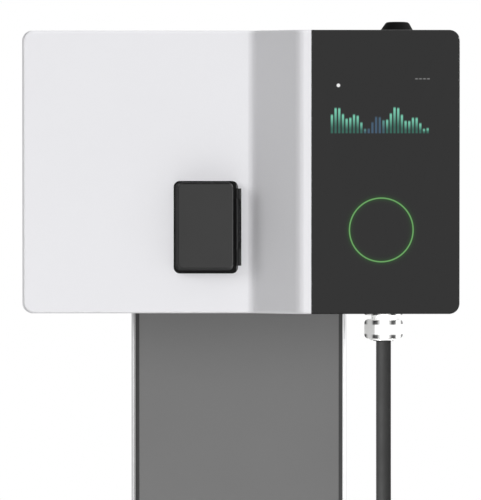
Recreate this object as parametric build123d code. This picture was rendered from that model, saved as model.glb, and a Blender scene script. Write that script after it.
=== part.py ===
"""Charging station: an EV wallbox with a socket lid, a display and a tethered cable, on a floor post."""
import math
import os

from build123d import *

# Floor post: two side rails with a panel at the front and one at the back, on a base plate
post_width = 256
post_depth = 120
post_height = 1250
rail_wall = 3
rail_lip = 5
rail_flange = 24
rail_round = 4
panel_groove = 4.5
panel_recess = 2
gasket_recess = 1
front_panel_thickness = 4
rear_panel_thickness = 3
cap_thickness = 5
cap_plug = 12
base_width = 290
base_length = 300
base_thickness = 10
base_corner = 12
base_chamfer = 1.5
anchor_spacing_x = 200
anchor_spacing_y = 230
anchor_hole = 14
conduit_hole = 60
foot_leg = 40
foot_thickness = 5
foot_length = 80
panel_screw_rows = 3
panel_screw_margin = 90

# Bracket that carries the box on the post
bracket_sheet = 2.5
bracket_depth = 14
bracket_width = 160
bracket_lip = 24
bracket_height = 210
bracket_bend = 4
bolt_spacing_x = 110
bolt_spacing_z = 150
bolt_diameter = 8
bolt_head = 13
bolt_head_height = 5.5
bolt_nut_height = 6.5
hanging_screw_diameter = 6
hanging_screw_head = 11
hanging_screw_spacing_z = 176
supply_hole = 36
supply_x = 0
supply_drop = 70
grommet_flange = 4
grommet_lip = 2
grommet_taper = 30
grommet_teat = 8

# Wallbox housing
box_width = 500
box_height = 324
box_drop = 110
box_corner = 12
housing_wall = 3
back_round = 6
tub_depth = 69
seam_thickness = 2
seam_inset = 0.8
seal_width = 5
cover_depth = 59
cover_round = 3
boss_inset = 13
boss_radius = 5
cover_screw_diameter = 4
cover_screw_head = 7.5
cover_screw_head_height = 3
cover_screw_seat = 20
cover_screw_grip = 14
drive_share = 0.5
drive_depth = 0.55
tub_ribs = 3
cover_ribs = 3
rib_thickness = 2
rib_depth = 6

# Right third of the front: slope, light stripe and black display block
panel_width = 169.5
stripe_width = 13.4
slope_width = 53
panel_rise = 24
slope_round = 23
display_depth = 20
display_wall = 2.5
display_gap = 0.4
display_edge = 1.5
glass_thickness = 3
screen_offset = 80
screen_drop = 85.3
screen_window_width = 117
screen_window_height = 69
lcd_border = 4
lcd_thickness = 8
ring_rise = 96
ring_radius = 36.3
ring_stroke = 2
ring_groove = 1.2
ring_legs = 8
ring_leg_diameter = 1.6
ring_board_width = 16
light_source = 2.5
light_source_height = 1.5
ring_board_boss = 3.5
ring_board_bosses = 3
ring_board_turn = 30
control_board_boss = 10.5
control_board_margin = 5
board_thickness = 1.6
processor_size = 20
display_screw_inset = 9
display_screw_diameter = 3
display_screw_grip = 8
cable_window_width = 60
cable_window_height = 40

# Power electronics in the tub
board_standoff = 10
standoff_radius = 4
board_edge = 16
board_drop = 40
board_hole_inset = 7
board_screw_diameter = 3
relay_width = 30
relay_height = 36
relay_depth = 26
relay_count = 4
relay_pitch = 36
relay_corner = 2
part_gap = 8
supply_module_width = 84
supply_module_height = 46
supply_module_depth = 28
sensor_outer = 46
sensor_inner = 24
sensor_depth = 18
terminal_poles = 5
terminal_pitch = 14
terminal_height = 44
terminal_depth = 40
terminal_edge = 34
terminal_mouth = 8
terminal_step_height = 14
terminal_step_depth = 10

# Socket with its lid
socket_gap = 16.9
socket_drop = 10.2
frame_width = 73.5
frame_height = 105.7
frame_corner = 7
frame_depth = 14
frame_left_rim = 5.5
frame_right_rim = 9
frame_end_rim = 7
opening_corner = 5
clamp_lip = 1
socket_seal_thickness = 1
flange_thickness = 5
core_radius = 27.5
core_depth = 48
recess_radius = 25
recess_flat = 19
recess_depth = 35
boss_core_radius = 20.5
boss_core_flat = 15.5
boss_core_recess = 4
power_contact = 6.6
pilot_contact = 4
contact_bore_wall = 0.8
contact_tail = 5
contact_row = 13
contact_lower_x = 7.2
contact_lower_z = 11.6
contact_upper_x = 6.5
contact_upper_z = 10.4
socket_screw_diameter = 3
socket_screw_head = 5.5
socket_screw_head_height = 2
socket_screw_grip = 9
socket_screw_offset = 20
lid_proud = 34
lid_gap = 0.4
lid_wall = 2.5
lid_left = 1.6
lid_right = 5.5
lid_top = 1.2
lid_bottom = 3.3
lid_left_draft = 3.8
lid_right_draft = 0.2
lid_top_draft = 1.5
lid_bottom_draft = 3.3
lid_corner = 6
lid_edge = 1.2
lid_seal_width = 2
lid_seal_depth = 3
lid_seal_inset = 0.8
lid_ribs = 2
lid_rib = 1.6
lid_rib_depth = 6
hinge_offset = 0.6
hinge_height = 1.2
knuckle_radius = 3.2
hinge_top = 8.5
hinge_length = 88.2
top_knuckle = 12
bottom_knuckle = 19
lid_knuckle = 8
hinge_web = 2.2
pin_diameter = 2.4
spring_wire = 0.6
spring_turns = 7
actuator_length = 40
actuator_height = 26
actuator_depth = 22
actuator_back = 8
lock_pin_diameter = 5
lock_pin_length = 24
lock_pin_chamfer = 1

# Cable gland, cable, coil and connector
gland_offset = 88.8
gland_flats = 39
gland_hex = 5.5
gland_hex_crown = 1.5
gland_neck = 29
gland_neck_length = 5
gland_nut_hex = 23
gland_nut_crown = 5
gland_nut_dome = 1.5
gland_nut_mouth = 24
gland_thread = 32
gland_thread_length = 14
gland_locknut_height = 6
gland_locknut_flats = 42
gland_lip = 1
cable_diameter = 17.5
coil_radius = 129.2
coil_inner_radius = 70
coil_pitch = 18.2
coil_lift = 1.8
coil_round = 8
coil_centre = (292, 48)
strap_width = 22
strap_thickness = 1.5
cable_fall = [
    (0, 0, 1.045),
    (0, 0, 0.81),
    (0.9, -2, 0.57),
    (1.3, 0.5, 0.35),
    (0.5, 13.5, 0.2),
    (-1.3, 48.5, 0.106),
    (-4.3, 98.5, 0.053),
]
tail_run = [(0, 0, 0), (0.6, -60, 0.5), (-4.4, -118, 2.1), (-13.4, -174, 2.1)]
boot_length = 42
boot_radius = 12.4
boot_tail_radius = 10.6
handle_length = 126
handle_sections = [(0.36, 16, 15.5, 17.5), (0.7, 20.5, 20, 23)]
handle_step = 3.5
collar_length = 10
collar_radius = 33
nose_length = 46
nose_radius = 28
nose_wall = 3
nose_flat = 21
nose_recess = 32
nose_core_radius = 21.5
nose_core_flat = 15.5

# Aerial on the top
antenna_offset = 103.8
antenna_base = 41.3
antenna_top = 26
antenna_lean = 0.9
antenna_height = 14
antenna_rim = 2
antenna_round = 4.5
antenna_stud = 10
antenna_stud_length = 12
antenna_nut_flats = 17
antenna_nut_height = 5

# Clearances, and the smallest length and the share of a run that the geometry works with
fit = 0.3
running_fit = 0.05
press_fit = 0.02
groove_fit = 0.4
overshoot = 1
hair = 0.01
arc_share = 0.45

# Places worked out from the sizes above: x to the right, y to the back, z up
panel_back_y = -post_depth / 2 + panel_recess + front_panel_thickness
post_front_y = -post_depth / 2 + panel_recess
box_back_y = post_front_y - bracket_depth
tub_inner_y = box_back_y - housing_wall
tub_rim_y = box_back_y - tub_depth
cover_rim_y = tub_rim_y - seam_thickness
flat_y = cover_rim_y - cover_depth
raised_y = flat_y - panel_rise
ledge_y = raised_y + display_depth
glass_back_y = raised_y + glass_thickness
display_inner_y = glass_back_y + display_wall
box_centre_z = post_height - box_drop
box_left = -box_width / 2
box_right = box_width / 2
box_bottom = box_centre_z - box_height / 2
box_top = box_centre_z + box_height / 2
panel_left = box_right - panel_width
stripe_left = panel_left - stripe_width
slope_left = stripe_left - slope_width
screen_x = panel_left + screen_offset
screen_z = box_top - screen_drop
ring_z = box_bottom + ring_rise
tub_middle_y = box_back_y - tub_depth / 2
frame_right = slope_left - socket_gap
frame_left = frame_right - frame_width
frame_top = box_centre_z - socket_drop
frame_bottom = frame_top - frame_height
frame_back_y = flat_y - socket_seal_thickness
frame_front_y = frame_back_y - frame_depth
socket_x = (frame_left + frame_left_rim + frame_right - frame_right_rim) / 2
socket_z = (frame_top + frame_bottom) / 2
lid_back_y = frame_front_y - lid_gap
lid_front_y = flat_y - lid_proud
hinge_x = frame_right + hinge_offset
hinge_y = frame_front_y - hinge_height
hinge_top_z = frame_top - hinge_top
hinge_bottom_z = hinge_top_z - hinge_length
lid_knuckle_top = hinge_top_z - top_knuckle
lid_knuckle_bottom = hinge_bottom_z + bottom_knuckle
gland_x = panel_left + gland_offset
gland_y = tub_middle_y
gland_end_z = box_bottom - gland_hex - gland_neck_length - gland_nut_hex - gland_nut_dome
antenna_x = panel_left + antenna_offset
cable_radius = cable_diameter / 2
low_layer_z = coil_lift + coil_pitch / 2
high_layer_z = low_layer_z + coil_pitch
cable_route = [(gland_x + dx, gland_y + dy, share * gland_end_z) for dx, dy, share in cable_fall]
cable_route.append((coil_centre[0] - coil_radius, coil_centre[1], high_layer_z))
tail_x = coil_centre[0] + coil_radius
tail_route = [(tail_x + dx, coil_centre[1] + dy, low_layer_z + dz) for dx, dy, dz in tail_run]


def facing(x, y, z):
    """Plane seen from the front: its own x runs right, its y runs up."""
    return Plane(origin=(x, y, z), x_dir=(1, 0, 0), z_dir=(0, -1, 0))


def block(x0, x1, y0, y1, z0, z1):
    """Box between two corners."""
    middle = Pos((x0 + x1) / 2, (y0 + y1) / 2, (z0 + z1) / 2)
    return middle * Box(abs(x1 - x0), abs(y1 - y0), abs(z1 - z0))


def slab(left, right, bottom, top, radius, y_back, y_front):
    """Plate parallel to the front, with rounded corners."""
    outline = RectangleRounded(right - left, top - bottom, radius)
    middle = facing((left + right) / 2, y_back, (bottom + top) / 2)
    return extrude(middle * outline, amount=y_back - y_front)


def peg(x, z, diameter, y_back, y_front):
    """Cylinder that runs from back to front."""
    return extrude(facing(x, y_back, z) * Circle(diameter / 2), amount=y_back - y_front)


def column(x, y, diameter, z0, z1):
    """Upright cylinder."""
    return Pos(x, y, (z0 + z1) / 2) * Cylinder(diameter / 2, z1 - z0)


def hex_column(x, y, flats, z0, z1):
    """Upright hexagon with a pair of corners left and right."""
    outline = RegularPolygon(flats / 2, 6, major_radius=False)
    return Pos(x, y, z0) * extrude(outline, amount=z1 - z0)


def d_shape(radius, flat):
    """Circle cut off by a flat above its middle."""
    return Circle(radius) - Pos(0, flat + radius) * Rectangle(2 * radius, 2 * radius)


def corners(spacing_x, spacing_y):
    """The four corners of a rectangle about the middle."""
    return [(sx * spacing_x / 2, sy * spacing_y / 2) for sx in (-1, 1) for sy in (-1, 1)]


def screw(x, z, head, height, shank, seat, tip):
    """Round-headed screw with a hexagon socket: the head lies on the seat and the shank runs to the tip."""
    outward = 1 if seat > tip else -1
    top = seat + outward * height
    body = peg(x, z, head, top, seat) + peg(x, z, shank, seat, tip)
    socket = facing(x, top, z) * RegularPolygon(drive_share * head / 2, 6, major_radius=False)
    return body - extrude(socket, amount=outward * drive_depth * height)


def make_base_plate():
    plate = extrude(RectangleRounded(base_width, base_length, base_corner), amount=base_thickness)
    plate = chamfer(plate.faces().sort_by(Axis.Z)[-1].edges(), base_chamfer)
    for x, y in corners(anchor_spacing_x, anchor_spacing_y):
        plate -= column(x, y, anchor_hole, 0, base_thickness)
    return plate - column(0, 0, conduit_hole, 0, base_thickness)


def make_rail():
    """Left side rail, one extrusion: side wall, bright edges, and flanges behind the panels."""
    edge = -post_width / 2
    front = -post_depth / 2
    rear = post_depth / 2
    front_seat = panel_back_y
    rear_seat = rear - panel_recess - rear_panel_thickness
    strips = [
        (rail_wall, front, rear),
        (rail_lip, front, front_seat),
        (rail_lip, rear_seat, rear),
        (rail_flange, front_seat, front_seat + rail_wall),
        (rail_flange, rear_seat - rail_wall, rear_seat),
    ]
    profile = Sketch()
    for width, y0, y1 in strips:
        profile += Pos(edge + width / 2, (y0 + y1) / 2) * Rectangle(width, y1 - y0)
    profile = fillet(profile.vertices().group_by(Axis.X)[0], rail_round)
    return Pos(0, 0, base_thickness) * extrude(profile, amount=post_height - base_thickness)


def panel_half_width():
    return post_width / 2 - rail_lip - panel_groove


def make_front_panel():
    half = panel_half_width()
    panel = block(-half, half, post_front_y, panel_back_y, base_thickness, post_height)
    for x, z in corners(bolt_spacing_x, bolt_spacing_z):
        panel -= peg(x, box_centre_z + z, bolt_diameter + fit, panel_back_y, post_front_y)
    return panel - peg(supply_x, box_centre_z - supply_drop, supply_hole, panel_back_y, post_front_y)


def panel_screw_places():
    """Screws near both edges of the rear panel, on the rails' flanges."""
    x = post_width / 2 - rail_flange + (rail_flange - rail_lip - panel_groove) / 2
    step = (post_height - base_thickness - 2 * panel_screw_margin) / (panel_screw_rows - 1)
    heights = [base_thickness + panel_screw_margin + step * row for row in range(panel_screw_rows)]
    return [(side * x, z) for side in (-1, 1) for z in heights]


def make_rear_panel():
    half = panel_half_width()
    outer = post_depth / 2 - panel_recess
    panel = block(-half, half, outer - rear_panel_thickness, outer, base_thickness, post_height)
    for x, z in panel_screw_places():
        panel -= peg(x, z, board_screw_diameter + fit, outer, outer - rear_panel_thickness)
    return panel


def make_rear_panel_screws():
    """Low round heads on the rear panel, with short shanks in the rails' flanges."""
    outer = post_depth / 2 - panel_recess
    return [screw(x, z, cover_screw_head, socket_screw_head_height, board_screw_diameter, outer,
                  outer - rear_panel_thickness) for x, z in panel_screw_places()]


def make_panel_gaskets():
    """Rubber strips in the four grooves between the rails and the panels."""
    inner = panel_half_width() + press_fit
    outer = post_width / 2 - rail_lip - press_fit
    rear = post_depth / 2 - panel_recess
    front_depth = (post_front_y + gasket_recess, panel_back_y)
    rear_depth = (rear - rear_panel_thickness, rear - gasket_recess)
    strips = []
    for y0, y1 in (front_depth, rear_depth):
        strip = block(inner, outer, y0, y1, base_thickness, post_height)
        strips += [strip, mirror(strip, about=Plane.YZ)]
    return strips


def make_top_cap():
    lid = extrude(RectangleRounded(post_width, post_depth, rail_round), amount=cap_thickness)
    lid = fillet(lid.faces().sort_by(Axis.Z)[-1].edges(), cap_thickness / 2)
    plug_width = post_width - 2 * (rail_wall + fit)
    front = panel_back_y + rail_wall + fit
    rear = post_depth / 2 - panel_recess - rear_panel_thickness - rail_wall - fit
    plug = block(-plug_width / 2, plug_width / 2, front, rear, -cap_plug, 0)
    hollow = block(-plug_width / 2 + rail_wall, plug_width / 2 - rail_wall,
                   front + rail_wall, rear - rail_wall, -cap_plug, 0)
    return Pos(0, 0, post_height) * (lid + (plug - hollow))


def make_foot_brackets():
    """Angle brackets inside the post, on the base plate and against the rails."""
    wall = -post_width / 2 + rail_wall
    upright = block(wall, wall + foot_thickness, -foot_length / 2, foot_length / 2,
                    base_thickness, base_thickness + foot_leg)
    flat = block(wall, wall + foot_leg, -foot_length / 2, foot_length / 2,
                 base_thickness, base_thickness + foot_thickness)
    left = upright + flat
    return [left, mirror(left, about=Plane.YZ)]


def make_wall_bracket():
    """Folded hat section: its plate lies on the post and its lips carry the box."""
    half = bracket_width / 2
    plate_y = post_front_y - bracket_sheet / 2
    lip_y = box_back_y + bracket_sheet / 2
    fold = FilletPolyline(
        (-half - bracket_lip, lip_y), (-half, lip_y), (-half, plate_y),
        (half, plate_y), (half, lip_y), (half + bracket_lip, lip_y),
        radius=bracket_bend,
    )
    bracket = extrude(trace(fold, bracket_sheet), amount=bracket_height)
    bracket = Pos(0, 0, box_centre_z - bracket_height / 2) * bracket
    for x, z in corners(bolt_spacing_x, bolt_spacing_z):
        bracket -= peg(x, box_centre_z + z, bolt_diameter + fit, post_front_y, post_front_y - bracket_sheet)
    for x, z in hanging_screw_places():
        bracket -= peg(x, z, hanging_screw_diameter + fit, box_back_y + bracket_sheet, box_back_y)
    return bracket - peg(supply_x, box_centre_z - supply_drop, supply_hole, post_front_y,
                         post_front_y - bracket_sheet)


def hanging_screw_places():
    spacing = bracket_width + bracket_lip
    return [(x, box_centre_z + z) for x, z in corners(spacing, hanging_screw_spacing_z)]


def make_bracket_bolts():
    """Bolts through the bracket and the front panel, each with its nut inside the post."""
    seat = post_front_y - bracket_sheet
    pieces = []
    for x, z in corners(bolt_spacing_x, bolt_spacing_z):
        place = box_centre_z + z
        head = extrude(facing(x, seat, place) * RegularPolygon(bolt_head / 2, 6, major_radius=False),
                       amount=bolt_head_height)
        shank = peg(x, place, bolt_diameter, panel_back_y + bolt_nut_height, seat)
        nut = extrude(facing(x, panel_back_y + bolt_nut_height, place)
                      * RegularPolygon(bolt_head / 2, 6, major_radius=False), amount=bolt_nut_height)
        pieces.append(head + shank)
        pieces.append(nut - peg(x, place, bolt_diameter + 2 * press_fit, panel_back_y + bolt_nut_height,
                                panel_back_y))
    return pieces


def make_hanging_screws():
    tip = box_back_y + bracket_sheet + grommet_lip
    return [screw(x, z, hanging_screw_head, bolt_head_height, hanging_screw_diameter, tub_inner_y, tip)
            for x, z in hanging_screw_places()]


def cover_screw_places():
    x = box_width / 2 - boss_inset
    z = box_height / 2 - boss_inset
    return [(side * x, box_centre_z + level * z) for side in (-1, 1) for level in (-1, 0, 1)]


def standoff_places():
    left = box_left + housing_wall + board_edge + board_hole_inset
    right = panel_left - board_edge - board_hole_inset
    top = box_top - housing_wall - board_edge - board_hole_inset
    bottom = box_centre_z - board_drop + board_hole_inset
    return [(x, z) for x in (left, (left + right) / 2, right) for z in (bottom, top)]


def rib_places(left, right, count):
    """Left sides of ribs spread evenly between two limits."""
    return [left + (right - left) * (step + 1) / (count + 1) - rib_thickness / 2 for step in range(count)]


def make_rear_housing():
    """Moulded tub with screw columns, board pillars and the holes for gland, aerial and supply."""
    tub = slab(box_left, box_right, box_bottom, box_top, box_corner, box_back_y, tub_rim_y)
    tub = fillet(tub.faces().sort_by(Axis.Y)[-1].edges(), back_round)
    tub -= slab(box_left + housing_wall, box_right - housing_wall, box_bottom + housing_wall,
                box_top - housing_wall, box_corner - housing_wall, tub_inner_y, tub_rim_y)
    for x, z in cover_screw_places():
        tub += peg(x, z, 2 * boss_radius, tub_inner_y, cover_rim_y)
    for x, z in standoff_places():
        tub += peg(x, z, 2 * standoff_radius, tub_inner_y, tub_inner_y - board_standoff)
    for x in rib_places(panel_left, box_right, tub_ribs):
        tub += block(x, x + rib_thickness, tub_inner_y, tub_inner_y - rib_depth,
                     box_bottom + housing_wall, box_top - housing_wall)
    for x, z in cover_screw_places():
        tub -= peg(x, z, cover_screw_diameter + fit, box_back_y, cover_rim_y)
        tub -= peg(x, z, cover_screw_head + fit, box_back_y, tub_rim_y + cover_screw_seat)
    for x, z in standoff_places():
        tub -= peg(x, z, board_screw_diameter + 2 * press_fit, tub_inner_y, tub_inner_y - board_standoff)
    for x, z in hanging_screw_places():
        tub -= peg(x, z, hanging_screw_diameter + fit, box_back_y, tub_inner_y)
    tub -= peg(supply_x, box_centre_z - supply_drop, supply_hole, box_back_y, tub_inner_y)
    tub -= column(gland_x, gland_y, gland_thread + fit, box_bottom, box_bottom + housing_wall)
    return tub - column(antenna_x, tub_middle_y, antenna_stud + fit, box_top - housing_wall, box_top)


def make_housing_seal():
    outer = slab(box_left + seam_inset, box_right - seam_inset, box_bottom + seam_inset, box_top - seam_inset,
                 box_corner - seam_inset, tub_rim_y, cover_rim_y)
    inset = seam_inset + seal_width
    return outer - slab(box_left + inset, box_right - inset, box_bottom + inset, box_top - inset,
                        box_corner - inset, tub_rim_y, cover_rim_y)


def make_supply_grommet():
    """Rubber grommet that closes the supply hole until the cable is fitted."""
    hole = supply_hole / 2
    outside = box_back_y + grommet_lip
    inside = tub_inner_y - grommet_lip
    body = peg(supply_x, box_centre_z - supply_drop, supply_hole - 2 * press_fit, box_back_y, tub_inner_y)
    for y0, y1 in ((outside, box_back_y), (tub_inner_y, inside)):
        body += peg(supply_x, box_centre_z - supply_drop, supply_hole + 2 * grommet_flange, y0, y1)
    teat = facing(supply_x, inside, box_centre_z - supply_drop) * Circle(hole - grommet_flange)
    return body + extrude(teat, amount=grommet_teat, taper=grommet_taper)


def cover_profile(wall):
    """Section of the front seen from above, set in by a wall thickness, run past the seam."""
    behind = cover_rim_y + cover_depth
    outline = Polyline(
        (box_left, behind), (box_left, flat_y), (slope_left, flat_y), (stripe_left, raised_y),
        (panel_left, raised_y), (panel_left, ledge_y), (box_right, ledge_y), (box_right, behind),
        close=True,
    )
    section = make_face(outline)
    bends = [v for v in section.vertices() if slope_left - overshoot < v.X < stripe_left + overshoot]
    section = fillet(bends, slope_round)
    if wall:
        section = offset(section, amount=-wall, kind=Kind.INTERSECTION)
    return section


def cover_body(wall):
    """The cover's outer form, or the hollow inside it when a wall is given."""
    height = box_height - 2 * wall
    prism = Pos(0, 0, box_centre_z - height / 2) * extrude(cover_profile(wall), amount=height)
    outline = slab(box_left + wall, box_right - wall, box_bottom + wall, box_top - wall, box_corner - wall,
                   cover_rim_y, raised_y)
    return prism & outline


def make_front_cover():
    """White moulded cover: a flat, a slope that rises to the right, a stripe, and a ledge for the display."""
    cover = cover_body(0)
    rim = []
    for edge in cover.edges():
        middle = edge @ 0.5
        along = edge % 0.5
        seen = middle.Y < flat_y + hair and middle.X < panel_left - overshoot
        inner_line = abs(along.Z) > 1 - hair and middle.X > box_left + overshoot
        if seen and abs(along.Y) < 1 - hair and not inner_line:
            rim.append(edge)
    cover = fillet(rim, cover_round)
    cover -= cover_body(housing_wall)
    for x, z in cover_screw_places():
        front = flat_y if x < 0 else ledge_y
        cover += peg(x, z, 2 * boss_radius, cover_rim_y, front + housing_wall)
        cover -= peg(x, z, cover_screw_diameter + 2 * press_fit, cover_rim_y, cover_rim_y - cover_screw_grip)
    for x in rib_places(box_left, socket_x - core_radius - actuator_length, cover_ribs):
        cover += block(x, x + rib_thickness, flat_y + housing_wall, flat_y + housing_wall + rib_depth,
                       box_bottom + housing_wall, box_top - housing_wall)
    cover -= peg(socket_x, socket_z, 2 * (core_radius + fit), flat_y + housing_wall, flat_y)
    for x, z in socket_screw_places():
        cover -= peg(x, z, socket_screw_diameter + fit, flat_y + housing_wall, flat_y)
    for x, z in display_screw_places():
        cover -= peg(x, z, display_screw_diameter + fit, ledge_y + housing_wall, ledge_y)
    return cover - block(screen_x - cable_window_width / 2, screen_x + cable_window_width / 2,
                         ledge_y, ledge_y + housing_wall,
                         screen_z - cable_window_height / 2, screen_z + cable_window_height / 2)


def make_cover_screws():
    """Long screws from the back of the tub into the cover's columns."""
    seat = tub_rim_y + cover_screw_seat
    tip = cover_rim_y - cover_screw_grip
    return [screw(x, z, cover_screw_head, cover_screw_head_height, cover_screw_diameter, seat, tip)
            for x, z in cover_screw_places()]


def display_outline(inset, y):
    """Outline of the black block: square beside the stripe, rounded with the box on the right."""
    left = panel_left + display_gap + inset
    right = box_right - inset
    outline = Rectangle(right - left, box_height - 2 * inset)
    rounded = outline.vertices().sort_by(Axis.X)[2:]
    outline = fillet(rounded, box_corner - inset)
    return facing((left + right) / 2, y, box_centre_z) * outline


def display_screw_places():
    left = panel_left + display_gap + display_screw_inset
    right = box_right - 2 * boss_inset
    height = box_height / 2 - display_screw_inset
    return [(x, box_centre_z + side * height) for x in (left, right) for side in (-1, 1)]


def ring_places(radius, count, turn):
    """Points evenly round the light ring's middle."""
    angles = [math.radians(turn + 360 / count * step) for step in range(count)]
    return [(screen_x + radius * math.cos(a), ring_z + radius * math.sin(a)) for a in angles]


def ring_boss_radius():
    return ring_radius + ring_board_width / 2 - boss_radius / 2


def control_board_half():
    return (screen_window_width / 2 + lcd_border + 2 * control_board_margin,
            screen_window_height / 2 + lcd_border)


def control_boss_places():
    half_width, half_height = control_board_half()
    pairs = corners(2 * (half_width - control_board_margin), 2 * (half_height - control_board_margin))
    return [(screen_x + x, screen_z + z) for x, z in pairs]


def make_display_housing():
    """Black moulded tray with the window, ring holes and pillars for its boards."""
    tray = extrude(display_outline(0, ledge_y), amount=display_depth - glass_thickness)
    tray -= extrude(display_outline(display_wall, ledge_y), amount=ledge_y - display_inner_y)
    pillar = boss_radius
    for x, z in ring_places(ring_boss_radius(), ring_board_bosses, ring_board_turn):
        tray += peg(x, z, pillar, display_inner_y + ring_board_boss, display_inner_y)
    for x, z in control_boss_places():
        tray += peg(x, z, pillar, display_inner_y + control_board_boss, display_inner_y)
    for x, z in display_screw_places():
        tray += peg(x, z, 2 * pillar, ledge_y, display_inner_y)
        tray -= peg(x, z, display_screw_diameter + 2 * press_fit, ledge_y, ledge_y - display_screw_grip)
    for x, z in ring_places(ring_radius, ring_legs, 0):
        tray -= peg(x, z, ring_leg_diameter + 2 * fit, display_inner_y, glass_back_y)
    return tray - block(screen_x - screen_window_width / 2, screen_x + screen_window_width / 2,
                        glass_back_y, display_inner_y,
                        screen_z - screen_window_height / 2, screen_z + screen_window_height / 2)


def make_display_glass():
    """Black glass over the whole block, with a groove for the light ring."""
    glass = extrude(display_outline(0, glass_back_y), amount=glass_thickness)
    front = glass.faces().sort_by(Axis.Y)[0]
    rounded = [e for e in front.edges() if (e @ 0.5).X > panel_left + overshoot]
    glass = fillet(rounded, display_edge)
    groove = facing(screen_x, raised_y + ring_groove, ring_z) * ring_face(press_fit)
    glass -= extrude(groove, amount=ring_groove)
    for x, z in ring_places(ring_radius, ring_legs, 0):
        glass -= peg(x, z, ring_leg_diameter + 2 * running_fit, glass_back_y, raised_y + ring_groove)
    return glass


def ring_face(gap):
    outer = ring_radius + ring_stroke / 2 + gap
    return Circle(outer) - Circle(outer - ring_stroke - 2 * gap)


def light_source_y():
    return display_inner_y + ring_board_boss - light_source_height


def make_light_ring():
    """Light guide: a thin ring in the glass with legs back to the light sources."""
    ring = extrude(facing(screen_x, raised_y + ring_groove, ring_z) * ring_face(0), amount=ring_groove)
    for x, z in ring_places(ring_radius, ring_legs, 0):
        ring += peg(x, z, ring_leg_diameter, light_source_y(), raised_y + ring_groove)
    return ring


def make_ring_board():
    """Round board on its pillars, with one light source behind each leg."""
    back = display_inner_y + ring_board_boss + board_thickness
    outer = ring_radius + ring_board_width / 2
    face = Circle(outer) - Circle(outer - ring_board_width)
    board = extrude(facing(screen_x, back, ring_z) * face, amount=board_thickness)
    for x, z in ring_places(ring_radius, ring_legs, 0):
        half = light_source / 2
        board += block(x - half, x + half, light_source_y(), display_inner_y + ring_board_boss,
                       z - half, z + half)
    return board


def make_lcd_module():
    """Display module against the back of the window."""
    half_width = screen_window_width / 2 + lcd_border
    half_height = screen_window_height / 2 + lcd_border
    module = block(screen_x - half_width, screen_x + half_width,
                   display_inner_y, display_inner_y + lcd_thickness,
                   screen_z - half_height, screen_z + half_height)
    bezel = block(screen_x - screen_window_width / 2 + fit, screen_x + screen_window_width / 2 - fit,
                  glass_back_y, display_inner_y,
                  screen_z - screen_window_height / 2 + fit, screen_z + screen_window_height / 2 - fit)
    return module + bezel


def make_control_board():
    half_width, half_height = control_board_half()
    back = display_inner_y + control_board_boss
    board = block(screen_x - half_width, screen_x + half_width, back, back + board_thickness,
                  screen_z - half_height, screen_z + half_height)
    half = processor_size / 2
    processor = block(screen_x - half, screen_x + half, back + board_thickness, back + 2 * board_thickness,
                      screen_z - half, screen_z + half)
    return board + processor


def make_display_screws():
    """Screws through the cover's ledge into the display housing."""
    return [screw(x, z, socket_screw_head, socket_screw_head_height, display_screw_diameter,
                  ledge_y + housing_wall, ledge_y - display_screw_grip) for x, z in display_screw_places()]


def board_limits():
    """Left, right, bottom and top of the power board."""
    return (box_left + housing_wall + board_edge, panel_left - board_edge,
            box_centre_z - board_drop, box_top - housing_wall - board_edge)


def board_front_y():
    return tub_inner_y - board_standoff - board_thickness


def make_power_board():
    left, right, bottom, top = board_limits()
    back = tub_inner_y - board_standoff
    board = block(left, right, back, back - board_thickness, bottom, top)
    for x, z in standoff_places():
        board -= peg(x, z, board_screw_diameter + fit, back, back - board_thickness)
    return board


def make_board_screws():
    return [screw(x, z, socket_screw_head, socket_screw_head_height, board_screw_diameter, board_front_y(),
                  tub_inner_y) for x, z in standoff_places()]


def make_power_relays():
    """Row of relays along the top of the power board."""
    left, right, bottom, top = board_limits()
    first = left + 2 * board_hole_inset + relay_width / 2
    z = top - 2 * board_hole_inset - relay_height / 2
    relays = []
    for step in range(relay_count):
        x = first + relay_pitch * step
        relays.append(slab(x - relay_width / 2, x + relay_width / 2,
                           z - relay_height / 2, z + relay_height / 2,
                           relay_corner, board_front_y(), board_front_y() - relay_depth))
    return relays


def make_supply_module():
    left, right, bottom, top = board_limits()
    edge = right - 2 * board_hole_inset
    head = top - 2 * board_hole_inset - relay_height - part_gap
    return slab(edge - supply_module_width, edge, head - supply_module_height, head, relay_corner,
                board_front_y(), board_front_y() - supply_module_depth)


def make_leak_sensor():
    """Ring core that the output conductors pass through, flat on the power board."""
    left, right, bottom, top = board_limits()
    x = right - 2 * board_hole_inset - supply_module_width - part_gap - sensor_outer / 2
    z = bottom + 2 * board_hole_inset + sensor_outer / 2
    face = Circle(sensor_outer / 2) - Circle(sensor_inner / 2)
    ring = extrude(facing(x, board_front_y(), z) * face, amount=sensor_depth)
    return fillet(ring.faces().sort_by(Axis.Y)[0].edges(), rail_wall)


def make_terminal_block():
    """Supply terminals on the back of the tub, with a mouth for each conductor."""
    left = box_left + housing_wall + terminal_edge
    bottom = box_bottom + housing_wall + terminal_edge
    width = terminal_poles * terminal_pitch
    front = tub_inner_y - terminal_depth
    body = block(left, left + width, tub_inner_y, front, bottom, bottom + terminal_height)
    body -= block(left, left + width, front, front + terminal_step_depth,
                  bottom, bottom + terminal_step_height)
    for pole in range(terminal_poles):
        x = left + terminal_pitch * (pole + 0.5)
        body -= column(x, tub_inner_y - terminal_depth / 2, terminal_mouth,
                       bottom, bottom + terminal_step_height)
    return body


def socket_screw_places():
    inset = frame_end_rim / 2
    return [(socket_x + side * socket_screw_offset, z)
            for side in (-1, 1) for z in (frame_bottom + inset, frame_top - inset)]


def opening_slab(grow, y_back, y_front):
    """The frame's opening, grown or shrunk all round."""
    return slab(frame_left + frame_left_rim - grow, frame_right - frame_right_rim + grow,
                frame_bottom + frame_end_rim - grow, frame_top - frame_end_rim + grow,
                opening_corner + grow, y_back, y_front)


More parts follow.
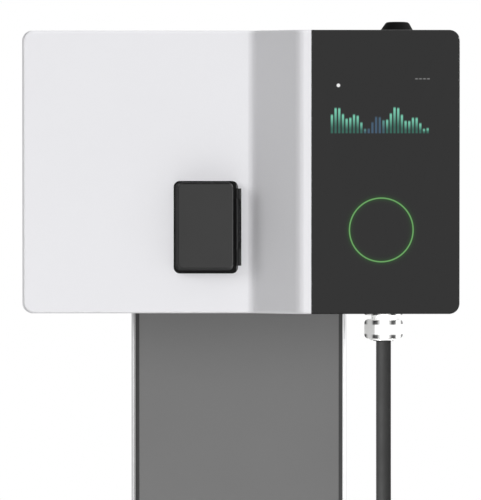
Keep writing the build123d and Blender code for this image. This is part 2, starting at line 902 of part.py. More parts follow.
def make_socket_frame():
    """Black frame that clamps the socket core, with a shelf behind the hinge and its two fixed knuckles."""
    frame = slab(frame_left, frame_right, frame_bottom, frame_top, frame_corner, frame_back_y, frame_front_y)
    frame -= opening_slab(0, frame_back_y, flat_y - flange_thickness - running_fit)
    frame -= opening_slab(-clamp_lip, frame_back_y, frame_front_y)
    shelf_y = hinge_y + knuckle_radius + groove_fit
    side = hinge_x + knuckle_radius
    frame += block(frame_right - overshoot, side, frame_back_y, shelf_y, hinge_bottom_z, hinge_top_z)
    for z0, z1 in ((lid_knuckle_top, hinge_top_z), (hinge_bottom_z, lid_knuckle_bottom)):
        frame += block(frame_right - overshoot, side, frame_back_y, hinge_y, z0, z1)
        frame += column(hinge_x, hinge_y, 2 * knuckle_radius, z0, z1)
    frame -= column(hinge_x, hinge_y, 2 * (knuckle_radius + groove_fit), lid_knuckle_bottom, lid_knuckle_top)
    frame -= column(hinge_x, hinge_y, pin_diameter + 2 * press_fit, hinge_bottom_z, hinge_top_z)
    for x, z in socket_screw_places():
        frame -= peg(x, z, socket_screw_diameter + 2 * press_fit, frame_back_y, flat_y - socket_screw_grip)
    return frame


def make_socket_seal():
    seal = slab(frame_left + seam_inset, frame_right - seam_inset, frame_bottom + seam_inset,
                frame_top - seam_inset, frame_corner - seam_inset, flat_y, frame_back_y)
    seal -= opening_slab(fit, flat_y, frame_back_y)
    for x, z in socket_screw_places():
        seal -= peg(x, z, socket_screw_diameter + fit, flat_y, frame_back_y)
    return seal


def contact_places():
    """Seven contacts: three across the middle, two below, and two small pilots above."""
    power = [(-contact_row, 0), (0, 0), (contact_row, 0),
             (-contact_lower_x, -contact_lower_z), (contact_lower_x, -contact_lower_z)]
    pilot = [(-contact_upper_x, contact_upper_z), (contact_upper_x, contact_upper_z)]
    return [(x, z, power_contact) for x, z in power] + [(x, z, pilot_contact) for x, z in pilot]


def make_socket_core():
    """Moulded core: flange, round body, D-shaped recess and the middle block with its contact holes."""
    front = flat_y - flange_thickness
    core = opening_slab(-running_fit, flat_y, front)
    core += peg(socket_x, socket_z, 2 * core_radius, flat_y + core_depth, flat_y)
    floor = front + recess_depth
    core -= extrude(facing(socket_x, floor, socket_z) * d_shape(recess_radius, recess_flat),
                    amount=recess_depth)
    core += extrude(facing(socket_x, floor, socket_z) * d_shape(boss_core_radius, boss_core_flat),
                    amount=recess_depth - boss_core_recess)
    for x, z, size in contact_places():
        core -= peg(socket_x + x, socket_z + z, size + fit, flat_y + core_depth, front)
    guide = Plane(origin=(socket_x - core_radius, lock_y(), socket_z), z_dir=(1, 0, 0))
    return core - extrude(guide * Circle(lock_pin_diameter / 2 + 2 * running_fit),
                          amount=core_radius - recess_radius + overshoot)


def make_socket_contacts():
    """Contact sleeves with a bored mouth and a solid tail behind the core."""
    front = flat_y - flange_thickness + boss_core_recess + contact_bore_wall
    back = flat_y + core_depth + contact_tail
    sleeves = []
    for x, z, size in contact_places():
        sleeve = peg(socket_x + x, socket_z + z, size, back, front)
        bore = peg(socket_x + x, socket_z + z, size - 2 * contact_bore_wall,
                   front + recess_depth - contact_tail, front)
        sleeves.append(sleeve - bore)
    return sleeves


def make_socket_screws():
    return [screw(x, z, socket_screw_head, socket_screw_head_height, socket_screw_diameter,
                  flat_y + housing_wall, flat_y - socket_screw_grip) for x, z in socket_screw_places()]


def lid_form(inset, y_back, y_front):
    """Drafted lid form between its back and front outlines, set in by a wall thickness."""
    back = (frame_left + lid_left, frame_right - lid_right, frame_bottom + lid_bottom, frame_top - lid_top)
    front = (back[0] + lid_left_draft, back[1] - lid_right_draft, back[2] + lid_bottom_draft,
             back[3] - lid_top_draft)
    sections = []
    for (left, right, bottom, top), y in ((back, y_back), (front, y_front)):
        outline = RectangleRounded(right - left - 2 * inset, top - bottom - 2 * inset, lid_corner - inset)
        sections.append(facing((left + right) / 2, y, (bottom + top) / 2) * outline)
    return loft(sections)


def spring_room():
    """Radius kept free for the spring round its pin."""
    return pin_diameter / 2 + spring_wire + 2 * fit


def make_socket_lid():
    """Hollow drafted lid with cross ribs, and a barrel on the hinge side that is open beside the spring."""
    lid = lid_form(0, lid_back_y, lid_front_y)
    lid = fillet(lid.faces().sort_by(Axis.Y)[0].edges(), lid_edge)
    hollow = lid_form(lid_wall, lid_back_y, lid_front_y + lid_wall)
    lid -= hollow
    for rib in range(lid_ribs):
        z = frame_bottom + frame_height * (rib + 1) / (lid_ribs + 1)
        bar = block(frame_left, frame_right, lid_front_y + lid_wall + lid_rib_depth, lid_front_y,
                    z - lid_rib / 2, z + lid_rib / 2)
        lid += bar & hollow
    low = lid_knuckle_bottom + groove_fit
    high = lid_knuckle_top - groove_fit
    lid += block(frame_right - lid_right - lid_wall / 2, hinge_x,
                 lid_back_y, lid_back_y - hinge_web, low, high)
    lid += column(hinge_x, hinge_y, 2 * knuckle_radius, low, high)
    lid -= column(hinge_x, hinge_y, 2 * spring_room(), low + lid_knuckle, high - lid_knuckle)
    lid -= block(hinge_x, hinge_x + knuckle_radius, hinge_y - knuckle_radius, hinge_y + knuckle_radius,
                 low + lid_knuckle, high - lid_knuckle)
    return lid - column(hinge_x, hinge_y, pin_diameter + 2 * running_fit, low, high)


def make_lid_seal():
    inset = lid_wall + lid_seal_inset
    left = frame_left + lid_left + inset
    right = frame_right - lid_right - inset
    bottom = frame_bottom + lid_bottom + inset
    top = frame_top - lid_top - inset
    corner = lid_corner - lid_wall
    width = lid_seal_width
    front = lid_back_y - lid_seal_depth
    outer = slab(left, right, bottom, top, corner, lid_back_y, front)
    return outer - slab(left + width, right - width, bottom + width, top - width, corner - width / 2,
                        lid_back_y, front)


def make_hinge_pin():
    return column(hinge_x, hinge_y, pin_diameter, hinge_bottom_z, hinge_top_z)


def make_lid_spring():
    """Coil on the pin between the lid's two knuckles."""
    low = lid_knuckle_bottom + groove_fit + lid_knuckle + spring_wire
    high = lid_knuckle_top - groove_fit - lid_knuckle - spring_wire
    radius = pin_diameter / 2 + fit + spring_wire / 2
    path = Helix(pitch=(high - low) / spring_turns, height=high - low, radius=radius)
    wire = sweep(Plane(origin=path @ 0, z_dir=path % 0) * Circle(spring_wire / 2), path=path)
    return Pos(hinge_x, hinge_y, low) * wire


def lock_y():
    return flat_y + actuator_back + actuator_depth / 2


def make_lock_actuator():
    """Drive case clamped to the side of the core, with the bolt's guide bore."""
    right = socket_x - core_radius
    back = flat_y + actuator_back
    case = block(right - actuator_length, right, back, back + actuator_depth,
                 socket_z - actuator_height / 2, socket_z + actuator_height / 2)
    case -= peg(socket_x, socket_z, 2 * (core_radius + running_fit), flat_y + core_depth, flat_y)
    bore = Plane(origin=(right - lock_pin_length, lock_y(), socket_z), z_dir=(1, 0, 0))
    return case - extrude(bore * Circle(lock_pin_diameter / 2 + running_fit),
                          amount=lock_pin_length + overshoot)


def make_lock_pin():
    tip = socket_x - recess_radius - fit
    start = Plane(origin=(tip - lock_pin_length, lock_y(), socket_z), z_dir=(1, 0, 0))
    pin = extrude(start * Circle(lock_pin_diameter / 2), amount=lock_pin_length)
    return chamfer(pin.faces().sort_by(Axis.X)[-1].edges(), lock_pin_chamfer)


def crowned_hex(z0, z1, crown):
    """Gland hexagon with its corners rounded off at both ends."""
    across_corners = gland_flats / math.cos(math.pi / 6)
    round_bar = column(gland_x, gland_y, across_corners, z0, z1)
    round_bar = fillet(round_bar.edges().filter_by(GeomType.CIRCLE), crown)
    return hex_column(gland_x, gland_y, gland_flats, z0, z1) & round_bar


def make_gland_body():
    """Threaded through the box's floor, with a hexagon below it and a neck for the nut."""
    shoulder = box_bottom - gland_hex
    body = crowned_hex(shoulder, box_bottom, gland_hex_crown)
    body += column(gland_x, gland_y, gland_thread, box_bottom, box_bottom + gland_thread_length)
    body += column(gland_x, gland_y, gland_neck, shoulder - gland_neck_length - gland_nut_hex / 2, shoulder)
    return body - column(gland_x, gland_y, cable_diameter + 2 * fit,
                         shoulder - gland_neck_length - gland_nut_hex, box_bottom + gland_thread_length)


def make_gland_nut():
    """Clamping nut: a crowned hexagon with a low ring round the mouth that the cable leaves by."""
    top = box_bottom - gland_hex - gland_neck_length
    low = top - gland_nut_hex
    nut = crowned_hex(low, top, gland_nut_crown)
    dome = column(gland_x, gland_y, gland_thread, gland_end_z, low)
    nut += fillet(dome.edges().filter_by(GeomType.CIRCLE).sort_by(Axis.Z)[0], gland_nut_dome - gland_lip)
    nut -= column(gland_x, gland_y, gland_neck + 2 * press_fit, top - gland_nut_hex / 2, top)
    return nut - column(gland_x, gland_y, gland_nut_mouth, gland_end_z, top)


def make_gland_seal():
    """Rubber sleeve round the cable, pinched by the nut and seen as a ring at its mouth."""
    top = box_bottom - gland_hex - gland_neck_length - gland_nut_hex / 2
    seal = column(gland_x, gland_y, gland_nut_mouth - 2 * press_fit, gland_end_z - gland_lip, top)
    return seal - column(gland_x, gland_y, cable_diameter + 2 * press_fit, gland_end_z - gland_lip, top)


def make_gland_locknut():
    low = box_bottom + housing_wall
    nut = hex_column(gland_x, gland_y, gland_locknut_flats, low, low + gland_locknut_height)
    return nut - column(gland_x, gland_y, gland_thread + 2 * press_fit, low, low + gland_locknut_height)


def make_antenna_dome():
    """Moulded aerial dome, its top a little to the right, with a stud through the roof of the tub."""
    foot = column(0, 0, antenna_base, 0, antenna_rim)
    base = Pos(0, 0, antenna_rim) * Circle(antenna_base / 2)
    top = Pos(antenna_lean, 0, antenna_height) * Circle(antenna_top / 2)
    dome = foot + loft([base, top])
    dome = fillet(dome.faces().sort_by(Axis.Z)[-1].edges(), antenna_round)
    dome += column(0, 0, antenna_stud, -antenna_stud_length, 0)
    return Pos(antenna_x, tub_middle_y, box_top) * dome


def make_antenna_nut():
    high = box_top - housing_wall
    low = high - antenna_nut_height
    nut = hex_column(antenna_x, tub_middle_y, antenna_nut_flats, low, high)
    return nut - column(antenna_x, tub_middle_y, antenna_stud + 2 * press_fit, low, high)


def route_radii(route):
    """Bend radius at each inner point: as large as the two runs beside it allow."""
    radii = []
    for before, here, after in zip(route, route[1:], route[2:]):
        run_in = Vector(*here) - Vector(*before)
        run_out = Vector(*after) - Vector(*here)
        half_turn = math.radians(run_in.get_angle(run_out)) / 2
        radii.append(arc_share * min(run_in.length, run_out.length) / math.tan(half_turn))
    return radii


def make_tube(name, route):
    """Round cable along a route of straight runs joined by tangent arcs."""
    radii = route_radii(route)
    path = FilletPolyline(*route, radius=radii)
    tube = sweep(Plane(origin=path @ 0, z_dir=path % 0) * Circle(cable_radius), path=path)
    ideal = math.pi * cable_radius ** 2 * path.length
    print(name, "bend radii", [round(r) for r in radii], "length", round(path.length),
          "volume ratio", round(tube.volume / ideal, 4))
    return tube


def make_cable_coil():
    """Outer form of the wound cable: two layers of turns lying flat."""
    outer = coil_radius + coil_pitch / 2
    inner = coil_inner_radius - coil_pitch / 2
    section = RectangleRounded(outer - inner, 2 * coil_pitch, coil_round)
    section = Pos((outer + inner) / 2, coil_lift + coil_pitch) * section
    ring = revolve(Plane.XZ * section, axis=Axis.Z)
    return Pos(*coil_centre, 0) * ring


def make_coil_straps():
    """Two ties round the coil's section, at its front and its back."""
    outer = coil_radius + coil_pitch / 2 + fit
    inner = math.sqrt((coil_inner_radius - coil_pitch / 2) ** 2 - (strap_width / 2) ** 2) - fit
    low = coil_lift - fit
    high = coil_lift + 2 * coil_pitch + fit
    loop = RectangleRounded(outer - inner + 2 * strap_thickness, high - low + 2 * strap_thickness,
                            coil_round + strap_thickness)
    loop -= RectangleRounded(outer - inner, high - low, coil_round)
    section = Plane(origin=(-strap_width / 2, (outer + inner) / 2, (low + high) / 2), x_dir=(0, 1, 0),
                    z_dir=(1, 0, 0)) * loop
    strap = extrude(section, amount=strap_width)
    return [Pos(*coil_centre, 0) * Rot(0, 0, turn) * strap for turn in (0, 180)]


def connector_place():
    """The connector's own frame: x runs from the boot's tail to the nose."""
    start = tail_route[-1]
    before = tail_route[-2]
    heading = math.degrees(math.atan2(start[1] - before[1], start[0] - before[0]))
    return Pos(start[0], start[1], 0) * Rot(0, 0, heading)


def across(x, z):
    """Plane square to the connector's length."""
    return Plane(origin=(x, 0, z), x_dir=(0, 1, 0), z_dir=(1, 0, 0))


def make_connector_boot():
    """Tapered rubber boot over the end of the cable."""
    tail_z = tail_route[-1][2]
    boot = loft([across(0, tail_z) * Circle(boot_tail_radius),
                 across(boot_length, tail_z) * Circle(boot_radius)])
    return connector_place() * boot


def collar_x():
    return boot_length + handle_length


def collar_z():
    return collar_radius + fit


def make_connector_handle():
    """Moulded grip that widens from the boot to the collar."""
    tail_z = tail_route[-1][2]
    root = collar_radius - handle_step
    grip = [(0, boot_radius, boot_radius, tail_z)] + handle_sections + [(1, root, root, collar_z())]
    sections = [across(boot_length + share * handle_length, z) * Ellipse(half_width, half_height)
                for share, half_width, half_height, z in grip]
    handle = loft(sections)
    handle += extrude(across(collar_x(), collar_z()) * Circle(collar_radius), amount=collar_length)
    return connector_place() * handle


def make_connector_nose():
    """D-shaped nose with a deep recess round the middle block of contacts."""
    back = collar_x() + collar_length
    nose = extrude(across(back, collar_z()) * d_shape(nose_radius, nose_flat), amount=nose_length)
    mouth = across(back + nose_length - nose_recess, collar_z())
    nose -= extrude(mouth * d_shape(nose_radius - nose_wall, nose_flat - nose_wall), amount=nose_recess)
    nose += extrude(mouth * d_shape(nose_core_radius, nose_core_flat), amount=nose_recess - boss_core_recess)
    for x, z, size in contact_places():
        hole = across(back + nose_length - nose_recess, collar_z()) * Pos(x, z) * Circle(size / 2 + fit)
        nose -= extrude(hole, amount=nose_recess)
    return connector_place() * nose


def make_connector_contacts():
    start = collar_x() + collar_length + nose_length - nose_recess
    length = nose_recess - boss_core_recess - contact_bore_wall
    sleeves = []
    for x, z, size in contact_places():
        sleeve = extrude(across(start, collar_z()) * Pos(x, z) * Circle(size / 2), amount=length)
        bore = across(start + contact_tail, collar_z()) * Pos(x, z) * Circle(size / 2 - contact_bore_wall)
        sleeves.append(connector_place() * (sleeve - extrude(bore, amount=length)))
    return sleeves


nodes = {
    "base_plate": make_base_plate(),
    "foot_brackets": make_foot_brackets(),
    "post_rail_left": make_rail(),
    "post_rail_right": mirror(make_rail(), about=Plane.YZ),
    "post_front_panel": make_front_panel(),
    "post_rear_panel": make_rear_panel(),
    "rear_panel_screws": make_rear_panel_screws(),
    "panel_gaskets": make_panel_gaskets(),
    "post_top_cap": make_top_cap(),
    "wall_bracket": make_wall_bracket(),
    "bracket_bolts": make_bracket_bolts(),
    "hanging_screws": make_hanging_screws(),
    "rear_housing": make_rear_housing(),
    "housing_seal": make_housing_seal(),
    "supply_grommet": make_supply_grommet(),
    "front_cover": make_front_cover(),
    "cover_screws": make_cover_screws(),
    "display_housing": make_display_housing(),
    "display_glass": make_display_glass(),
    "light_ring": make_light_ring(),
    "ring_board": make_ring_board(),
    "lcd_module": make_lcd_module(),
    "control_board": make_control_board(),
    "display_screws": make_display_screws(),
    "power_board": make_power_board(),
    "board_screws": make_board_screws(),
    "power_relays": make_power_relays(),
    "supply_module": make_supply_module(),
    "leak_sensor": make_leak_sensor(),
    "terminal_block": make_terminal_block(),
    "socket_frame": make_socket_frame(),
    "socket_seal": make_socket_seal(),
    "socket_core": make_socket_core(),
    "socket_contacts": make_socket_contacts(),
    "socket_screws": make_socket_screws(),
    "socket_lid": make_socket_lid(),
    "lid_seal": make_lid_seal(),
    "lid_hinge_pin": make_hinge_pin(),
    "lid_spring": make_lid_spring(),
    "lock_actuator": make_lock_actuator(),
    "lock_pin": make_lock_pin(),
    "antenna_dome": make_antenna_dome(),
    "antenna_nut": make_antenna_nut(),
    "gland_body": make_gland_body(),
    "gland_nut": make_gland_nut(),
    "gland_seal": make_gland_seal(),
    "gland_locknut": make_gland_locknut(),
    "charging_cable": make_tube("charging_cable", cable_route),
    "cable_coil": make_cable_coil(),
    "cable_tail": make_tube("cable_tail", tail_route),
    "coil_straps": make_coil_straps(),
    "connector_boot": make_connector_boot(),
    "connector_handle": make_connector_handle(),
    "connector_nose": make_connector_nose(),
    "connector_contacts": make_connector_contacts(),
}

os.makedirs("parts", exist_ok=True)
for name, shape in nodes.items():
    solids = shape if isinstance(shape, list) else [shape]
    export_step(Compound(children=[s for piece in solids for s in piece.solids()]), f"parts/{name}.step")
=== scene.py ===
import math

import bmesh
import bpy
from mathutils import Matrix, Vector


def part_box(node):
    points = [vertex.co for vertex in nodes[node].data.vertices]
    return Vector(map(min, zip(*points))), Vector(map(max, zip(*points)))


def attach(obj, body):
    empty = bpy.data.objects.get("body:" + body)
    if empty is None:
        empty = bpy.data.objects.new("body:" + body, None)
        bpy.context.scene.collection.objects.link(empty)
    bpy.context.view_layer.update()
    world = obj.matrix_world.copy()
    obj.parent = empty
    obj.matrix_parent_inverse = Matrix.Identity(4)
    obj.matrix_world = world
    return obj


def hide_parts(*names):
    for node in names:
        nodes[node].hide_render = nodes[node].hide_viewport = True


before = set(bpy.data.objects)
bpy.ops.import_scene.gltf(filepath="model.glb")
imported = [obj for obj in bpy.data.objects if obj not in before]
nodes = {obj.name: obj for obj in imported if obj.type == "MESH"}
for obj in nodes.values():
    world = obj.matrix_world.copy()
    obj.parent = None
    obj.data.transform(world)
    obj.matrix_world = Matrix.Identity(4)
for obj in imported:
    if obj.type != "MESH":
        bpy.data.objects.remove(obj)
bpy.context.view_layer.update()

# Floor: pale screed, rolled on and left matt. It is a wide disc under the post that ends outside the picture,
# so the paper-white studio behind the station stays bare.
floor_radius = 2.6
floor_sides = 128
floor_light = (0.86, 0.86, 0.85, 1)
floor_dark = (0.80, 0.80, 0.79, 1)
floor_cloud = (1.3, 4.0)
floor_grit = (240.0, 2.0)
floor_roughness = (0.7, 0.2)
floor_relief = (0.1, 0.001)


class Wire:
    """A node's socket that takes part in sums: each operator adds a Math node to the same tree."""

    def __init__(self, tree, socket):
        self.tree = tree
        self.socket = socket

    def node(self, kind, settings, inputs, out=0):
        """Adds any node: its settings first, then the values or links of its inputs; gives one output."""
        made = self.tree.nodes.new(kind)
        for name, value in settings.items():
            setattr(made, name, value)
        for name, value in inputs.items():
            if isinstance(value, Wire):
                self.tree.links.new(value.socket, made.inputs[name])
            else:
                made.inputs[name].default_value = value
        return Wire(self.tree, made.outputs[out])

    def math(self, operation, first, second=0.0):
        return self.node("ShaderNodeMath", {"operation": operation}, {0: first, 1: second})

    def __add__(self, other):
        return self.math("ADD", self, other)

    def __radd__(self, other):
        return self.math("ADD", other, self)

    def __sub__(self, other):
        return self.math("SUBTRACT", self, other)

    def __rsub__(self, other):
        return self.math("SUBTRACT", other, self)

    def __mul__(self, other):
        return self.math("MULTIPLY", self, other)

    def __rmul__(self, other):
        return self.math("MULTIPLY", other, self)

    def __truediv__(self, other):
        return self.math("DIVIDE", self, other)

    def __rtruediv__(self, other):
        return self.math("DIVIDE", other, self)

    def __lt__(self, other):
        return self.math("LESS_THAN", self, other)

    def __gt__(self, other):
        return self.math("GREATER_THAN", self, other)

    def sine(self):
        return self.math("SINE", self)

    def size(self):
        return self.math("ABSOLUTE", self)

    def whole(self):
        return self.math("FLOOR", self)

    def hypot(self, other):
        return self.math("SQRT", self * self + other * other)

    def axis(self, index):
        return self.node("ShaderNodeSeparateXYZ", {}, {0: self}, index)

    def stretch(self, x, y, z):
        return self.node("ShaderNodeMapping", {}, {"Vector": self, "Scale": (x, y, z)})

    def noise(self, waves, layers):
        """Cloudy pattern with so many waves to a metre, in so many layers."""
        return self.node("ShaderNodeTexNoise", {}, {"Vector": self, "Scale": waves, "Detail": layers})

    def cells(self, count, feature):
        """Pattern of so many cells to a metre."""
        return self.node("ShaderNodeTexVoronoi", {"feature": feature}, {"Vector": self, "Scale": count},
                         "Distance")

    def steps(self, low, high):
        """Rises softly from 0 at low to 1 at high."""
        return self.node("ShaderNodeMapRange", {"interpolation_type": "SMOOTHSTEP"},
                         {0: self, 1: low, 2: high})

    def edge(self, level, blur):
        """Soft step from 0 to 1 at one level."""
        return self.steps(level - blur, level + blur)

    def between(self, low, high, blur):
        """1 from one level to another, with soft ends."""
        return self.edge(low, blur) * (1 - self.edge(high, blur))

    def rise(self, least, share):
        """The least value, and a share of the pattern on top of it."""
        return least + share * self

    def mix(self, none, full):
        return self.node("ShaderNodeMix", {"data_type": "RGBA"}, {0: self, 6: none, 7: full}, 2)

    def bump(self, strength, height):
        """Relief of a pattern: how strongly it shows, and its height in metres."""
        return self.node("ShaderNodeBump", {}, {"Strength": strength, "Distance": height, "Height": self})


def finish(name, fixed, build):
    """Material: fixed values go straight on the shader, and build gives the ones that vary with place."""
    material = bpy.data.materials.new(name)
    material.use_nodes = True
    tree = material.node_tree
    shader = tree.nodes["Principled BSDF"]
    for socket, value in fixed.items():
        shader.inputs[socket].default_value = value
    coordinates = tree.nodes.new("ShaderNodeTexCoord")
    for socket, wire in build(Wire(tree, coordinates.outputs["Object"])).items():
        tree.links.new(wire.socket, shader.inputs[socket])
    return material


def screed(place):
    cloud = place.noise(*floor_cloud)
    return {"Base Color": cloud.mix(floor_light, floor_dark), "Roughness": cloud.rise(*floor_roughness),
            "Normal": place.noise(*floor_grit).bump(*floor_relief)}


def add_piece(name, data, material):
    """New object at the origin with its place in its mesh or curve."""
    piece = bpy.data.objects.new(name, data)
    bpy.context.scene.collection.objects.link(piece)
    data.materials.clear()
    data.materials.append(material)
    return piece


disc = bmesh.new()
bmesh.ops.create_circle(disc, cap_ends=True, segments=floor_sides, radius=floor_radius)
floor_mesh = bpy.data.meshes.new("floor")
disc.to_mesh(floor_mesh)
disc.free()
add_piece("floor", floor_mesh, finish("pale_screed", {}, screed))

# Base plate, foot brackets and wall bracket: laser-cut and folded steel, hot-dip galvanised after bending.
# The plate is anchored to the floor, and the brackets are bolted inside the post and behind the box.
zinc_light = (0.60, 0.61, 0.62, 1)
zinc_dark = (0.42, 0.43, 0.44, 1)
spangle_count = 90.0
frost_pattern = (420.0, 3.0)
spangle_tint = 0.7
frost_tint = 0.5
frost_height = 0.4
zinc_roughness = (0.38, 0.2)
zinc_relief = (0.12, 0.0006)


def galvanised(place):
    spangle = place.cells(spangle_count, "SMOOTH_F1")
    frost = place.noise(*frost_pattern)
    return {"Base Color": (spangle * spangle_tint + frost * frost_tint).mix(zinc_light, zinc_dark),
            "Roughness": frost.rise(*zinc_roughness),
            "Normal": (spangle + frost_height * frost).bump(*zinc_relief)}


def dress(material, *names):
    """Gives pieces of the frame their finish."""
    for name in names:
        for slot in nodes[name].material_slots:
            slot.material = material


galvanised_steel = finish("galvanised_steel", {"Metallic": 1.0}, galvanised)
dress(galvanised_steel, "base_plate", "foot_brackets", "wall_bracket")

# Post rails: two aluminium extrusions that stand on the base plate, bright strips beside the panels.
# They are brushed along their length, then clear anodised. The left one carries painted shade in grey beside
# its groove.
anodised_light = (0.91, 0.91, 0.92, 1)
anodised_dark = (0.80, 0.80, 0.81, 1)
painted_groove_shade = (0.33, 0.33, 0.33, 1)
brushing = (900.0, 900.0, 6.0)
hair_pattern = (1.0, 3.0)
hair_roughness = (0.26, 0.16)
hair_relief = (0.08, 0.0004)
groove_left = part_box("panel_gaskets")[0].x
groove_shade_left = groove_left - 0.0022
groove_shade_right = groove_left + 0.0100
groove_shade_blur = 0.0014


def brushed_anodised(place):
    hairs = place.stretch(*brushing).noise(*hair_pattern)
    # Painted shade in grey along the left rail's edge beside its groove.
    groove_shade = place.axis(0).between(groove_shade_left, groove_shade_right, groove_shade_blur)
    return {"Base Color": groove_shade.mix(hairs.mix(anodised_light, anodised_dark), painted_groove_shade),
            "Roughness": hairs.rise(*hair_roughness), "Normal": hairs.bump(*hair_relief)}


dress(finish("brushed_anodised", {"Metallic": 1.0}, brushed_anodised), "post_rail_left", "post_rail_right")

# Post panels: aluminium sheets slid between the rails, front and back, powder coated mid grey.
# The coat has a fine orange peel.
coat_light = (0.187, 0.187, 0.187, 1)
coat_dark = (0.172, 0.172, 0.172, 1)
coat_cloud = (7.0, 3.0)
peel_pattern = (900.0, 1.0)
peel_roughness = (0.5, 0.12)
peel_relief = (0.2, 0.0003)


def powder_coat(place):
    peel = place.noise(*peel_pattern)
    return {"Base Color": place.noise(*coat_cloud).mix(coat_light, coat_dark),
            "Roughness": peel.rise(*peel_roughness), "Normal": peel.bump(*peel_relief)}


grey_coat = finish("grey_powder_coat", {"Specular IOR Level": 0.25}, powder_coat)
dress(grey_coat, "post_front_panel", "post_rear_panel")

# Fasteners and lock bolt: zinc-plated steel, turned or cold formed, with hexagon sockets in their heads.
# Most sit inside the case, and the screws of the rear panel and the cover show from behind.
plating_light = (0.66, 0.66, 0.64, 1)
plating_dark = (0.50, 0.50, 0.49, 1)
plating_haze = (600.0, 2.0)
plating_roughness = (0.28, 0.2)
plating_relief = (0.05, 0.0002)


def zinc_plating(place):
    haze = place.noise(*plating_haze)
    return {"Base Color": haze.mix(plating_light, plating_dark), "Roughness": haze.rise(*plating_roughness),
            "Normal": haze.bump(*plating_relief)}


dress(finish("zinc_plated_steel", {"Metallic": 1.0}, zinc_plating), "rear_panel_screws", "bracket_bolts",
      "hanging_screws", "cover_screws", "display_screws", "board_screws", "socket_screws", "lock_pin")

# Rear tub: injection moulded in graphite polycarbonate with a spark-eroded grain, screwed to the bracket.
# It carries the electronics and the cover's long screws.
graphite_light = (0.052, 0.053, 0.056, 1)
graphite_dark = (0.040, 0.041, 0.044, 1)
graphite_grain = 900.0
graphite_roughness = 0.5
moulding_cloud = (11.0, 3.0)
grain_roughness = 0.14
grain_relief = (0.16, 0.0003)


def moulded(light, dark, grain_count, roughness):
    """Grained moulding: a soft cloud in the colour and a fine leathery grain."""
    def build(place):
        grain = place.cells(grain_count, "SMOOTH_F1")
        return {"Base Color": place.noise(*moulding_cloud).mix(light, dark),
                "Roughness": grain.rise(roughness, grain_roughness), "Normal": grain.bump(*grain_relief)}
    return build


graphite = moulded(graphite_light, graphite_dark, graphite_grain, graphite_roughness)
dress(finish("graphite_moulding", {"Specular IOR Level": 0.35}, graphite), "rear_housing")

# Post gaskets, seals and grommets: rubber strips, extruded in grey for the grooves between rails and panels,
# and moulded rings in matt black, pinched between the shells and round the cable.
gasket_light = (0.058, 0.058, 0.058, 1)
gasket_dark = (0.046, 0.046, 0.046, 1)
rubber_light = (0.020, 0.020, 0.020, 1)
rubber_dark = (0.012, 0.012, 0.012, 1)
bloom_pattern = (60.0, 4.0)
bloom_roughness = (0.62, 0.2)
rubber_grain = (1500.0, 2.0)
rubber_relief = (0.15, 0.0002)


def rubber(light, dark):
    """Matt rubber with a cloudy bloom."""
    def build(place):
        bloom = place.noise(*bloom_pattern)
        return {"Base Color": bloom.mix(light, dark), "Roughness": bloom.rise(*bloom_roughness),
                "Normal": place.noise(*rubber_grain).bump(*rubber_relief)}
    return build


dress(finish("grey_rubber", {"Specular IOR Level": 0.3}, rubber(gasket_light, gasket_dark)), "panel_gaskets")
dress(finish("black_rubber", {"Specular IOR Level": 0.3}, rubber(rubber_light, rubber_dark)), "housing_seal",
      "supply_grommet", "socket_seal", "lid_seal", "gland_seal", "connector_boot")

# Circuit boards: glass-fibre laminate under green lacquer, with copper tracks showing through.
# They are cut and drilled flat, and sit on bosses of the tub and of the display's tray.
board_lacquer = (0.010, 0.110, 0.048, 1)
board_track = (0.030, 0.190, 0.080, 1)
track_count = 330.0
track_width = 0.08
lacquer_pattern = (300.0, 2.0)
lacquer_roughness = (0.34, 0.1)
track_relief = (0.2, 0.0002)


def circuit_board(place):
    tracks = place.cells(track_count, "DISTANCE_TO_EDGE") < track_width
    return {"Base Color": tracks.mix(board_lacquer, board_track),
            "Roughness": place.noise(*lacquer_pattern).rise(*lacquer_roughness),
            "Normal": tracks.bump(*track_relief)}


dress(finish("green_board", {}, circuit_board), "ring_board", "control_board", "power_board")

# Relays, supply, sensor, terminals, display module and lock drive: closed cases moulded in dark grey nylon.
# The first three stand on the power board and the terminals on the back of the tub.
# The display lies behind the pane, and the drive beside the socket.
module_light = (0.14, 0.14, 0.15, 1)
module_dark = (0.10, 0.10, 0.11, 1)
module_grain = 700.0
module_roughness = 0.45

nylon = moulded(module_light, module_dark, module_grain, module_roughness)
dress(finish("nylon_cases", {"Specular IOR Level": 0.4}, nylon), "lcd_module", "power_relays",
      "supply_module", "leak_sensor", "terminal_block", "lock_actuator")

# Front cover: one white moulding with the flat, the slope that rises to the right and the stripe, in satin.
# It closes the tub from the front and is held by screws from behind.
# Its left and lower edges carry painted light, a little whiter than its faces.
white_light = (0.838, 0.836, 0.862, 1)
white_dark = (0.820, 0.818, 0.845, 1)
painted_edge_light = (0.970, 0.968, 0.990, 1)
white_grain = 1400.0
white_roughness = 0.42
cover_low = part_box("front_cover")[0]
inner_left = cover_low.x + 0.0024
inner_bottom = cover_low.z + 0.0024
painted_edge_blur = 0.0008


def white_moulding(place):
    surface = moulded(white_light, white_dark, white_grain, white_roughness)(place)
    # Painted light: the left and lower edges are whitened to lift their shading.
    inside = place.axis(0).edge(inner_left, painted_edge_blur) * place.axis(2).edge(inner_bottom, painted_edge_blur)
    surface["Base Color"] = inside.mix(painted_edge_light, surface["Base Color"])
    return surface


dress(finish("white_moulding", {"Specular IOR Level": 0.3}, white_moulding), "front_cover")
